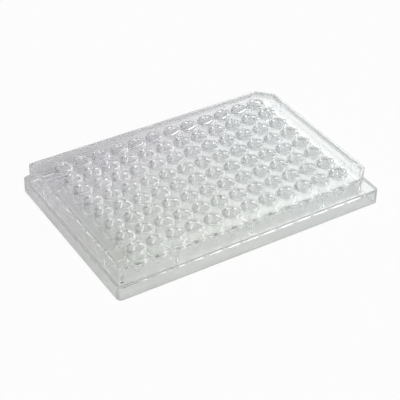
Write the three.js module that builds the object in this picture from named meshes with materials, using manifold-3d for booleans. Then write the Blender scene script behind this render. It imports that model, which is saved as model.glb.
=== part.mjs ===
// Clear microplate with a 12 x 8 grid of open, cone-bottomed wells, moulded in one piece.
// Millimetres, +Z up. The origin is at the centre of the underside: +X runs along the long side
// towards the two cut corners, and +Y runs towards the back row of wells.

import * as THREE from 'three';
import { mergeVertices } from 'three/addons/utils/BufferGeometryUtils.js';
import Module from 'manifold-3d';

const wasm = await Module();
wasm.setup();

// Outside of the plate
const footprintLength = 127.76;
const footprintWidth = 85.48;
const plateHeight = 14.35;

// Skirt: the wide foot that fills the footprint and ends in a ledge
const skirtHeight = 6.9;
const skirtWall = 1.4;
const skirtCornerRadius = 2;
const skirtCavityCornerRadius = 0.8;
const ledgeThickness = 1.4;

// Upper wall: stands on the ledge, with the two +X corners cut at 45 degrees
const ledgeWidth = 2.1;
const upperWall = 1.5;
const cornerCut = 6.5;
const upperCornerRadius = 1.2;
const upperCavityCornerRadius = 0.8;

// Deck: the thin floor between the wells, a step below the top of the wall
const deckStep = 0.95;
const deckThickness = 0.8;

// Well grid
const wellPitch = 9;
const leastEdgeToWellCentre = 10.5;

// One well: a round bore that ends in a cone, inside a tube that ends in a blunt cone. The draft
// is how much narrower the bore is where its cone starts than at its mouth.
const wellTopRadius = 3.43;
const wellDraft = 0.23;
const wellDepth = 10.7;
const wellConeHeight = 4.7;
const tubeWall = 0.57;
const tubeConeHeight = 5;
const tubeTipRadius = 1.2;
const floorThickness = 1.2;
const rimWidth = 0.67;

// Stiffening ribs under the deck, from the wall to a little way in between the outer tubes
const ribThickness = 0.9;
const ribFootHeight = 5.5;
const ribReach = 0.6;

// How far a shape reaches into or past the one that it joins or cuts
const overlap = 0.4;

// Round sections have this many sides, and are drawn a little wide so that each one keeps the
// area of its true circle
const roundSides = 8;
const sectorAngle = (2 * Math.PI) / roundSides;
const equalAreaScale = Math.sqrt(sectorAngle / Math.sin(sectorAngle));
const cornerSegments = 3;

const deckTop = plateHeight - deckStep;
const deckUnderside = deckTop - deckThickness;
const wellFloor = plateHeight - wellDepth;
const tubeTip = wellFloor - floorThickness;
const wallInset = ledgeWidth + upperWall;
const wellLowRadius = wellTopRadius - wellDraft;
const tubeRadius = wellTopRadius + tubeWall;
const rimRadius = wellTopRadius + rimWidth;

const columns = Math.floor((footprintLength - 2 * leastEdgeToWellCentre) / wellPitch) + 1;
const rows = Math.floor((footprintWidth - 2 * leastEdgeToWellCentre) / wellPitch) + 1;
const firstWellX = (-(columns - 1) * wellPitch) / 2;
const firstWellY = (-(rows - 1) * wellPitch) / 2;

function toSolid(geometry) {
  const bare = geometry.index ? geometry.clone() : geometry;
  bare.deleteAttribute('normal');
  bare.deleteAttribute('uv');
  const merged = mergeVertices(bare, 1e-4);
  const corners = merged.index.array;
  const triangles = [];
  for (let i = 0; i < corners.length; i += 3) {
    const [a, b, c] = corners.slice(i, i + 3);
    if (a !== b && b !== c && c !== a) {
      triangles.push(a, b, c);
    }
  }
  return new wasm.Manifold(new wasm.Mesh({
    numProp: 3,
    vertProperties: new Float32Array(merged.attributes.position.array),
    triVerts: new Uint32Array(triangles),
  }));
}

function toGeometry(solid) {
  const mesh = solid.getMesh();
  const geometry = new THREE.BufferGeometry();
  geometry.setAttribute('position', new THREE.BufferAttribute(mesh.vertProperties, 3));
  geometry.setIndex(new THREE.BufferAttribute(mesh.triVerts, 1));
  geometry.computeVertexNormals();
  return geometry;
}

// A closed outline through anticlockwise corners, each rounded by an arc of the given radius.
function roundedOutline(corners, radius) {
  const shape = new THREE.Shape();
  corners.forEach((corner, i) => {
    const before = corners[(i + corners.length - 1) % corners.length];
    const after = corners[(i + 1) % corners.length];
    const back = before.clone().sub(corner).normalize();
    const ahead = after.clone().sub(corner).normalize();
    const halfAngle = Math.acos(back.dot(ahead)) / 2;
    const inward = back.clone().add(ahead).normalize();
    const centre = corner.clone().addScaledVector(inward, radius / Math.sin(halfAngle));
    const startAngle = Math.atan2(back.x, -back.y);
    const endAngle = startAngle + Math.PI - 2 * halfAngle;
    shape.absarc(centre.x, centre.y, radius, startAngle, endAngle, false);
  });
  return shape;
}

function skirtOutline(inset, radius) {
  const x = footprintLength / 2 - inset;
  const y = footprintWidth / 2 - inset;
  const corners = [
    new THREE.Vector2(-x, -y),
    new THREE.Vector2(x, -y),
    new THREE.Vector2(x, y),
    new THREE.Vector2(-x, y),
  ];
  return roundedOutline(corners, radius);
}

// The upper wall's outline, moved inwards from its outer face by the given inset.
function upperOutline(inset, radius) {
  const x = footprintLength / 2 - ledgeWidth - inset;
  const y = footprintWidth / 2 - ledgeWidth - inset;
  const cut = cornerCut - inset * (2 - Math.SQRT2);
  const corners = [
    new THREE.Vector2(-x, -y),
    new THREE.Vector2(x - cut, -y),
    new THREE.Vector2(x, cut - y),
    new THREE.Vector2(x, y - cut),
    new THREE.Vector2(x - cut, y),
    new THREE.Vector2(-x, y),
  ];
  return roundedOutline(corners, radius);
}

function prism(outline, bottom, top) {
  const geometry = new THREE.ExtrudeGeometry(outline, {
    depth: top - bottom,
    bevelEnabled: false,
    curveSegments: cornerSegments,
  });
  geometry.translate(0, 0, bottom);
  return toSolid(geometry);
}

// A round shape about a well's axis, from [radius, height] pairs listed from the bottom up.
function turned(profile, x, y) {
  const points = profile.map(([radius, height]) => new THREE.Vector2(radius * equalAreaScale, height));
  const geometry = new THREE.LatheGeometry(points, roundSides, sectorAngle / 2);
  geometry.rotateX(Math.PI / 2);
  geometry.translate(x, y, 0);
  return toSolid(geometry);
}

function tube(x, y) {
  const neck = (deckTop + deckUnderside) / 2;
  return turned([
    [0, tubeTip],
    [tubeTipRadius, tubeTip],
    [tubeRadius, tubeTip + tubeConeHeight],
    [tubeRadius, neck],
    [rimRadius, neck],
    [rimRadius, plateHeight],
    [0, plateHeight],
  ], x, y);
}

function bore(x, y) {
  return turned([
    [0, wellFloor],
    [wellLowRadius, wellFloor + wellConeHeight],
    [wellTopRadius, plateHeight],
    [wellTopRadius, plateHeight + overlap],
    [0, plateHeight + overlap],
  ], x, y);
}

function rib(x, y, lengthX, lengthY) {
  const height = deckUnderside + overlap - ribFootHeight;
  const geometry = new THREE.BoxGeometry(lengthX, lengthY, height);
  geometry.translate(x, y, ribFootHeight + height / 2);
  return toSolid(geometry);
}

function addEndRibs(body) {
  const outerEnd = footprintLength / 2 - wallInset + overlap;
  const innerEnd = -firstWellX + tubeRadius - ribReach;
  const length = outerEnd - innerEnd;
  const x = (outerEnd + innerEnd) / 2;
  const gapRows = [0, rows - 2];
  for (const gap of gapRows) {
    const y = firstWellY + (gap + 0.5) * wellPitch;
    body = body.add(rib(-x, y, length, ribThickness));
    body = body.add(rib(x, y, length, ribThickness));
  }
  return body;
}

function addSideRibs(body) {
  const outerEnd = footprintWidth / 2 - wallInset + overlap;
  const innerEnd = -firstWellY + tubeRadius - ribReach;
  const length = outerEnd - innerEnd;
  const y = (outerEnd + innerEnd) / 2;
  const gapColumns = [1, Math.floor(columns / 2) - 1, columns - 3];
  for (const gap of gapColumns) {
    const x = firstWellX + (gap + 0.5) * wellPitch;
    body = body.add(rib(x, -y, ribThickness, length));
    body = body.add(rib(x, y, ribThickness, length));
  }
  return body;
}

function wellPlate() {
  const skirt = prism(skirtOutline(0, skirtCornerRadius), 0, skirtHeight);
  const upper = prism(upperOutline(0, upperCornerRadius), skirtHeight - overlap, plateHeight);
  const skirtCavity = prism(
    skirtOutline(skirtWall, skirtCavityCornerRadius), -overlap, skirtHeight - ledgeThickness);
  const upperCavity = prism(upperOutline(upperWall, upperCavityCornerRadius), -overlap, deckUnderside);
  const recess = prism(
    upperOutline(upperWall, upperCavityCornerRadius), deckTop, plateHeight + overlap);

  let body = skirt.add(upper);
  body = body.subtract(skirtCavity);
  body = body.subtract(upperCavity);
  body = body.subtract(recess);
  body = addEndRibs(body);
  body = addSideRibs(body);

  const places = [];
  for (let column = 0; column < columns; column += 1) {
    for (let row = 0; row < rows; row += 1) {
      places.push([firstWellX + column * wellPitch, firstWellY + row * wellPitch]);
    }
  }
  for (const [x, y] of places) {
    body = body.add(tube(x, y));
  }
  for (const [x, y] of places) {
    body = body.subtract(bore(x, y));
  }
  return body;
}

const clearPolystyrene = new THREE.MeshStandardMaterial({
  color: 0xe4e9e8,
  roughness: 0.08,
  metalness: 0,
  transparent: true,
  opacity: 0.35,
});

const plate = new THREE.Mesh(toGeometry(wellPlate()), clearPolystyrene);
plate.name = 'well_plate';

const group = new THREE.Group();
group.add(plate);

export default group;
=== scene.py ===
"""A clear 96-well plate: the fine mesh of the moulding, its material, the light and the camera."""
import math

import bmesh
import bpy
from mathutils import Matrix, Vector


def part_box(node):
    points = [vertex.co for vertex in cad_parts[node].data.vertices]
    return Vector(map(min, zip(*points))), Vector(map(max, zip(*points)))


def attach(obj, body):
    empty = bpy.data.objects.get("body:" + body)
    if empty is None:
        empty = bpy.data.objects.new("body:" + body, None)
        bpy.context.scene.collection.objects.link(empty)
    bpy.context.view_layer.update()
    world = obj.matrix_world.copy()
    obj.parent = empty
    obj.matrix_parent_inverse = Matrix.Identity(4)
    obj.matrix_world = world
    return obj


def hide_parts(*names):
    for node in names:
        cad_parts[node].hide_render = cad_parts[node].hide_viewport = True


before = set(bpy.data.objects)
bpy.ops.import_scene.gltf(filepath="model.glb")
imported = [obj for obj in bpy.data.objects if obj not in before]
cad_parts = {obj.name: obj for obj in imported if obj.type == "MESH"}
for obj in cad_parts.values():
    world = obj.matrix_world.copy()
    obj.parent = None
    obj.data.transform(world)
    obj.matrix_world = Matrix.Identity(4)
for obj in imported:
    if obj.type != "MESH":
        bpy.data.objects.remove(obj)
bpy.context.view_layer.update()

# ---------------------------------------------------------------- sizes, in millimetres
low, high = (Vector(corner) * 1000 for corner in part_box("well_plate"))
half_length = (high.x - low.x) / 2
half_width = (high.y - low.y) / 2
height = high.z

skirt_height = 6.9
skirt_wall = 1.4
skirt_radius = 2.0
skirt_cavity_radius = 0.8
ledge_thickness = 1.4
ledge_width = 2.1
upper_wall = 1.5
upper_foot = 2
corner_cut = 6.5
upper_radius = 1.2
upper_cavity_radius = 0.8
deck_step = 0.95
deck_thickness = 0.8
deck_top = height - deck_step
deck_underside = deck_top - deck_thickness

pitch = 9.0
columns = 12
rows = 8
mouth_radius = 3.43
well_low_radius = 3.2
well_floor_radius = 0.35
well_depth = 10.7
well_cone = 4.7
well_floor = height - well_depth
well_cone_top = well_floor + well_cone
tube_radius = 4.0
tube_tip_radius = 0.6
tube_floor = 1.2
tube_cone = 5.0
tube_tip = well_floor - tube_floor
tube_cone_top = tube_tip + tube_cone
rim_radius = 4.1

rib_thickness = 0.9
rib_foot = 5.5
rib_reach = 0.6
rib_overlap = 0.4
rib_corner_radius = 0.1

outer_round = 0.4
foot_bevel = 0.15
deck_round = 0.2
wall_lip = 0.3
rim_lip = 0.3
mouth_lip = 0.2
beyond = 1

outline_steps = 5
edge_steps = 4
round_sides = 32
sharp_angle = 32
merge_distance = 1e-7


# ---------------------------------------------------------------- shapes
def rounded(points, radii):
    """A counter-clockwise outline with a round of its own at each corner."""
    outline = []
    for i, (point, radius) in enumerate(zip(points, radii)):
        here = Vector(point)
        before = (Vector(points[i - 1]) - here).normalized()
        after = (Vector(points[(i + 1) % len(points)]) - here).normalized()
        half = before.angle(after) / 2
        centre = here + (before + after).normalized() * radius / math.sin(half)
        start = here + before * radius / math.tan(half) - centre
        end = here + after * radius / math.tan(half) - centre
        first = math.atan2(start.y, start.x)
        turn = (math.atan2(end.y, end.x) - first + math.pi) % (2 * math.pi) - math.pi
        for k in range(outline_steps + 1):
            angle = first + turn * k / outline_steps
            outline.append((centre.x + radius * math.cos(angle), centre.y + radius * math.sin(angle)))
    return outline


def rectangle(x0, x1, y0, y1, radius):
    return rounded([(x0, y0), (x1, y0), (x1, y1), (x0, y1)], [radius] * 4)


def skirt_outline(inset, radius):
    x = half_length - inset
    y = half_width - inset
    return rectangle(-x, x, -y, y, radius)


def upper_outline(inset, radius):
    """The raised part's outline, with the two corners at +X cut at 45 degrees."""
    x = half_length - inset
    y = half_width - inset
    cut = corner_cut - (2 - math.sqrt(2)) * (inset - ledge_width)
    points = [(-x, -y), (x - cut, -y), (x, -y + cut), (x, y - cut), (x - cut, y), (-x, y)]
    return rounded(points, [radius] * 6)


def make(name, build):
    """A new object, with the mesh that build fills in."""
    work = bmesh.new()
    build(work)
    mesh = bpy.data.meshes.new(name)
    work.to_mesh(mesh)
    work.free()
    thing = bpy.data.objects.new(name, mesh)
    bpy.context.collection.objects.link(thing)
    return thing


def skin(work, loops):
    """Closes a stack of equal loops, lowest first, into a solid."""
    rings = [[work.verts.new(point) for point in loop] for loop in loops]
    count = len(rings[0])
    for lower, upper in zip(rings[:-1], rings[1:]):
        for i in range(count):
            j = (i + 1) % count
            work.faces.new((lower[i], lower[j], upper[j], upper[i]))
    work.faces.new(list(reversed(rings[0])))
    work.faces.new(rings[-1])


def loft(name, sections):
    """A solid through flat outlines. The sections are (outline, z), lowest first."""
    loops = [[(x, y, z) for x, y in outline] for outline, z in sections]
    return make(name, lambda work: skin(work, loops))


def turned(name, profile, centres):
    """The same round shape at every centre. The profile is (radius, z), lowest first."""
    def build(work):
        for cx, cy in centres:
            loops = []
            for radius, z in profile:
                loop = []
                for k in range(round_sides):
                    angle = 2 * math.pi * (k + 0.5) / round_sides
                    loop.append((cx + radius * math.cos(angle), cy + radius * math.sin(angle), z))
                loops.append(loop)
            skin(work, loops)
    return make(name, build)


def combine(body, tool, operation):
    """Adds the tool to the body, or cuts it out, and removes the tool."""
    step = body.modifiers.new("step", "BOOLEAN")
    step.operation = operation
    step.solver = "MANIFOLD"
    step.object = tool
    shape = body.evaluated_get(bpy.context.evaluated_depsgraph_get())
    mesh = bpy.data.meshes.new_from_object(shape)
    body.modifiers.clear()
    body.data = mesh
    bpy.data.objects.remove(tool)


def round_over(radius):
    """A rounded edge, as (inset, drop), from the side up to the top."""
    angles = [k * (math.pi / 2 / edge_steps) for k in range(edge_steps + 1)]
    return [(radius * (1 - math.cos(angle)), radius * (1 - math.sin(angle))) for angle in angles]


# ---------------------------------------------------------------- the moulding
sections = [
    (skirt_outline(foot_bevel, skirt_radius), 0),
    (skirt_outline(0, skirt_radius), foot_bevel),
]
for inset, drop in round_over(outer_round):
    sections.append((skirt_outline(inset, skirt_radius - inset), skirt_height - drop))
plate = loft("clear_well_plate", sections)

sections = [(upper_outline(ledge_width, upper_radius), upper_foot)]
for inset, drop in round_over(outer_round):
    sections.append((upper_outline(ledge_width + inset, upper_radius - inset), height - drop))
combine(plate, loft("upper", sections), "UNION")

outline = skirt_outline(skirt_wall, skirt_cavity_radius)
skirt_cavity = loft("skirt_cavity", [(outline, -beyond), (outline, skirt_height - ledge_thickness)])
combine(plate, skirt_cavity, "DIFFERENCE")

inner = ledge_width + upper_wall
outline = upper_outline(inner, upper_cavity_radius)
upper_cavity = loft("upper_cavity", [(outline, -beyond), (outline, deck_underside)])
combine(plate, upper_cavity, "DIFFERENCE")

# the recess above the deck: a round at its foot, an upright wall and a lip at the top
steps = [
    (deck_round, deck_top),
    (0, deck_top + deck_round),
    (0, height - wall_lip),
    (-wall_lip / 3, height - wall_lip / 3),
    (-wall_lip, height),
    (-wall_lip, height + beyond),
]
sections = [(upper_outline(inner + inset, upper_cavity_radius), z) for inset, z in steps]
combine(plate, loft("recess", sections), "DIFFERENCE")

first_x = -pitch * (columns - 1) / 2
first_y = -pitch * (rows - 1) / 2
centres = [(first_x + pitch * c, first_y + pitch * r) for c in range(columns) for r in range(rows)]

# from the tip: a bevel, the cone, a soft bend, the tube, the round at the rim's foot and the rim's lip
profile = [
    (tube_tip_radius, tube_tip),
    (tube_tip_radius + 0.55, tube_tip + 0.3),
    (tube_radius - 0.15, tube_cone_top - 0.2),
    (tube_radius, tube_cone_top + 0.4),
    (tube_radius, deck_underside),
    (rim_radius + deck_round, deck_top),
    (rim_radius + 0.05, deck_top + 0.08),
    (rim_radius, deck_top + deck_round),
    (rim_radius, height - rim_lip),
    (rim_radius - rim_lip * 0.3, height - rim_lip * 0.3),
    (rim_radius - rim_lip, height),
]
combine(plate, turned("tubes", profile, centres), "UNION")

half_rib = rib_thickness / 2
rib_top = (deck_underside + deck_top) / 2
wall_inside_x = half_length - inner
wall_inside_y = half_width - inner
reach_x = -first_x + tube_radius - rib_reach
reach_y = -first_y + tube_radius - rib_reach
for side in (-1, 1):
    for gap in (0, rows - 2):
        y = first_y + pitch * (gap + 0.5)
        x0, x1 = sorted((side * (wall_inside_x + rib_overlap), side * reach_x))
        outline = rectangle(x0, x1, y - half_rib, y + half_rib, rib_corner_radius)
        combine(plate, loft("end_rib", [(outline, rib_foot), (outline, rib_top)]), "UNION")
    for gap in (1, columns // 2 - 1, columns - 3):
        x = first_x + pitch * (gap + 0.5)
        y0, y1 = sorted((side * (wall_inside_y + rib_overlap), side * reach_y))
        outline = rectangle(x - half_rib, x + half_rib, y0, y1, rib_corner_radius)
        combine(plate, loft("side_rib", [(outline, rib_foot), (outline, rib_top)]), "UNION")

# from the floor: a bevel, the cone, a soft bend, the slightly tapered bore and the mouth's lip
profile = [
    (well_floor_radius, well_floor),
    (well_floor_radius + 0.4, well_floor + 0.2),
    (well_low_radius - 0.05, well_cone_top - 0.15),
    (well_low_radius + 0.03, well_cone_top + 0.35),
    (mouth_radius, height - mouth_lip * 1.5),
    (mouth_radius + mouth_lip * 0.3, height - mouth_lip * 0.5),
    (mouth_radius + mouth_lip, height),
    (mouth_radius + mouth_lip, height + beyond),
]
combine(plate, turned("wells", profile, centres), "DIFFERENCE")

mesh = plate.data
mesh.name = "clear_well_plate"
mesh.transform(Matrix.Scale(0.001, 4))
for face in mesh.polygons:
    face.use_smooth = True
work = bmesh.new()
work.from_mesh(mesh)
bmesh.ops.remove_doubles(work, verts=work.verts, dist=merge_distance)
for line in work.edges:
    if len(line.link_faces) == 2:
        line.smooth = line.calc_face_angle() < math.radians(sharp_angle)
work.to_mesh(mesh)
work.free()
normals = plate.modifiers.new("normals", "WEIGHTED_NORMAL")
normals.keep_sharp = True


# ---------------------------------------------------------------- materials, in metres
def node_tree(name):
    material = bpy.data.materials.new(name)
    material.use_nodes = True
    return material, material.node_tree


def clear_polystyrene():
    """Clear plastic with faint tints: greenish yellow at -Y, lilac at +Y, a cooler green towards +X."""
    front_tint = (0.984, 0.998, 0.978, 1)
    middle_tint = (0.992, 0.996, 0.995, 1)
    back_tint = (0.988, 0.983, 1.0, 1)
    right_tint = (0.977, 0.996, 0.993, 1)
    material, tree = node_tree("clear_polystyrene")
    nodes = tree.nodes
    link = tree.links.new
    shader = nodes["Principled BSDF"]
    shader.inputs["IOR"].default_value = 1.58
    shader.inputs["Transmission Weight"].default_value = 1
    place = nodes.new("ShaderNodeTexCoord")

    # the tint follows Y, made uneven by a slow noise
    split = nodes.new("ShaderNodeSeparateXYZ")
    across = nodes.new("ShaderNodeMapRange")
    across.inputs["From Min"].default_value = -0.055
    across.inputs["From Max"].default_value = 0.055
    tint_noise = nodes.new("ShaderNodeTexNoise")
    tint_noise.inputs["Scale"].default_value = 22
    tint_noise.inputs["Detail"].default_value = 1
    blend = nodes.new("ShaderNodeMix")
    blend.inputs["Factor"].default_value = 0.35
    tint = nodes.new("ShaderNodeValToRGB")
    stops = tint.color_ramp.elements
    stops[0].position = 0.2
    stops[0].color = front_tint
    stops[1].position = 0.75
    stops[1].color = back_tint
    middle = stops.new(0.5)
    middle.color = middle_tint
    link(place.outputs["Object"], split.inputs[0])
    link(split.outputs["Y"], across.inputs["Value"])
    link(place.outputs["Object"], tint_noise.inputs["Vector"])
    link(across.outputs["Result"], blend.inputs["A"])
    link(tint_noise.outputs["Fac"], blend.inputs["B"])
    link(blend.outputs["Result"], tint.inputs["Fac"])

    # and it gets cooler along X; sockets 6, 7 and 2 of the mix node are its two colours and its result
    along = nodes.new("ShaderNodeMapRange")
    along.interpolation_type = "SMOOTHSTEP"
    along.inputs["From Min"].default_value = -0.01
    along.inputs["From Max"].default_value = 0.064
    along.inputs["To Max"].default_value = 0.85
    cooler = nodes.new("ShaderNodeMix")
    cooler.data_type = "RGBA"
    cooler.inputs[7].default_value = right_tint
    link(split.outputs["X"], along.inputs["Value"])
    link(along.outputs["Result"], cooler.inputs["Factor"])
    link(tint.outputs["Color"], cooler.inputs[6])
    link(cooler.outputs[2], shader.inputs["Base Color"])

    # faintly uneven gloss
    haze_noise = nodes.new("ShaderNodeTexNoise")
    haze_noise.inputs["Scale"].default_value = 300
    haze_noise.inputs["Detail"].default_value = 3
    haze = nodes.new("ShaderNodeMapRange")
    haze.inputs["From Min"].default_value = 0.35
    haze.inputs["From Max"].default_value = 0.75
    haze.inputs["To Max"].default_value = 0.012
    link(place.outputs["Object"], haze_noise.inputs["Vector"])
    link(haze_noise.outputs["Fac"], haze.inputs["Value"])
    link(haze.outputs["Result"], shader.inputs["Roughness"])

    # the moulding's slight waviness
    flow = nodes.new("ShaderNodeTexNoise")
    flow.inputs["Scale"].default_value = 90
    flow.inputs["Detail"].default_value = 1
    bump = nodes.new("ShaderNodeBump")
    bump.inputs["Strength"].default_value = 0.03
    bump.inputs["Distance"].default_value = 0.0002
    link(place.outputs["Object"], flow.inputs["Vector"])
    link(flow.outputs["Fac"], bump.inputs["Height"])
    link(bump.outputs["Normal"], shader.inputs["Normal"])
    return material


mesh.materials.clear()
mesh.materials.append(clear_polystyrene())
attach(plate, "root")
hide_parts("well_plate")


# ---------------------------------------------------------------- floor, light and camera
def floor_material():
    """White to the camera, with a little of that white in the plate and through it."""
    grey = 0.92
    white_shares = (("Is Camera Ray", 0.95), ("Is Glossy Ray", 0.1), ("Is Transmission Ray", 0.1))
    material, tree = node_tree("pale_floor")
    nodes = tree.nodes
    link = tree.links.new
    shader = nodes["Principled BSDF"]
    shader.inputs["Base Color"].default_value = (grey, grey, grey, 1)
    shader.inputs["Roughness"].default_value = 1
    shader.inputs["Specular IOR Level"].default_value = 0
    white = nodes.new("ShaderNodeEmission")
    white.inputs["Strength"].default_value = 1
    path = nodes.new("ShaderNodeLightPath")
    shares = []
    for ray, share in white_shares:
        part = nodes.new("ShaderNodeMath")
        part.operation = "MULTIPLY"
        part.inputs[1].default_value = share
        link(path.outputs[ray], part.inputs[0])
        shares.append(part.outputs[0])
    total = shares[0]
    for share in shares[1:]:
        larger = nodes.new("ShaderNodeMath")
        larger.operation = "MAXIMUM"
        link(total, larger.inputs[0])
        link(share, larger.inputs[1])
        total = larger.outputs[0]
    mix = nodes.new("ShaderNodeMixShader")
    link(total, mix.inputs[0])
    link(shader.outputs[0], mix.inputs[1])
    link(white.outputs[0], mix.inputs[2])
    link(mix.outputs[0], nodes["Material Output"].inputs["Surface"])
    return material


def lay_floor(work):
    bmesh.ops.create_grid(work, x_segments=1, y_segments=1, size=12)


floor = make("floor", lay_floor)
floor.data.materials.append(floor_material())

# The sky is a plain level plus soft panels, and a negative strength dims a patch of it. Each panel is:
# degrees from +X towards +Y, degrees up, the cosines where it starts and where it is full, strength.
plain_level = 0.28
panels = [
    (300, 5, 0.3, 1, 1.8),
    (46, 28, 0.955, 0.99, 2.0),
    (80, 15, 0.97, 0.99, 2.5),
    (60, 75, 0.985, 0.995, 2.5),
    (180, 30, 0.3, 1, -0.22),
]
world = bpy.data.worlds.new("studio")
bpy.context.scene.world = world
world.use_nodes = True
nodes = world.node_tree.nodes
link = world.node_tree.links.new
direction = nodes.new("ShaderNodeTexCoord")
ambient = nodes.new("ShaderNodeValue")
ambient.outputs[0].default_value = plain_level
total = ambient.outputs[0]
for around, above, start, full, strength in panels:
    flat = math.cos(math.radians(above))
    facing = nodes.new("ShaderNodeVectorMath")
    facing.operation = "DOT_PRODUCT"
    facing.inputs[1].default_value = (
        flat * math.cos(math.radians(around)),
        flat * math.sin(math.radians(around)),
        math.sin(math.radians(above)),
    )
    glow = nodes.new("ShaderNodeMapRange")
    glow.interpolation_type = "SMOOTHSTEP"
    glow.inputs["From Min"].default_value = start
    glow.inputs["From Max"].default_value = full
    glow.inputs["To Max"].default_value = strength
    link(direction.outputs["Generated"], facing.inputs[0])
    link(facing.outputs["Value"], glow.inputs["Value"])
    more = nodes.new("ShaderNodeMath")
    more.operation = "ADD"
    link(total, more.inputs[0])
    link(glow.outputs["Result"], more.inputs[1])
    total = more.outputs[0]
path = nodes.new("ShaderNodeLightPath")
seen = nodes.new("ShaderNodeMix")
seen.inputs["B"].default_value = 1
link(path.outputs["Is Camera Ray"], seen.inputs["Factor"])
link(total, seen.inputs["A"])
link(seen.outputs["Result"], nodes["Background"].inputs["Strength"])
nodes["Background"].inputs["Color"].default_value = (1, 1, 1, 1)

# the camera, turned about a point halfway up the plate
target = Vector((0, 0, 0.007))
distance = 0.546
azimuth = math.radians(-32.73)
elevation = math.radians(36.06)
roll = math.radians(1.4)
back = Vector((
    math.sin(azimuth) * math.cos(elevation),
    -math.cos(azimuth) * math.cos(elevation),
    math.sin(elevation),
))
right = Vector((0, 0, 1)).cross(back).normalized()
up = back.cross(right)
right, up = (
    right * math.cos(roll) + up * math.sin(roll),
    up * math.cos(roll) - right * math.sin(roll),
)
lens = bpy.data.cameras.new("camera")
lens.sensor_width = 36
lens.lens = 114.2
lens.shift_x = -0.0013
lens.shift_y = -0.0428
lens.clip_start = 0.01
camera = bpy.data.objects.new("camera", lens)
bpy.context.collection.objects.link(camera)
stand = Matrix((right, up, back)).transposed().to_4x4()
stand.translation = target + back * distance
camera.matrix_world = stand

# light has to pass through many walls of clear plastic before it may stop
clear_bounces = 96
scene = bpy.context.scene
scene.camera = camera
scene.view_settings.view_transform = "Standard"
scene.cycles.max_bounces = clear_bounces
scene.cycles.transmission_bounces = clear_bounces
scene.cycles.glossy_bounces = clear_bounces
scene.cycles.diffuse_bounces = 8
scene.cycles.blur_glossy = 0
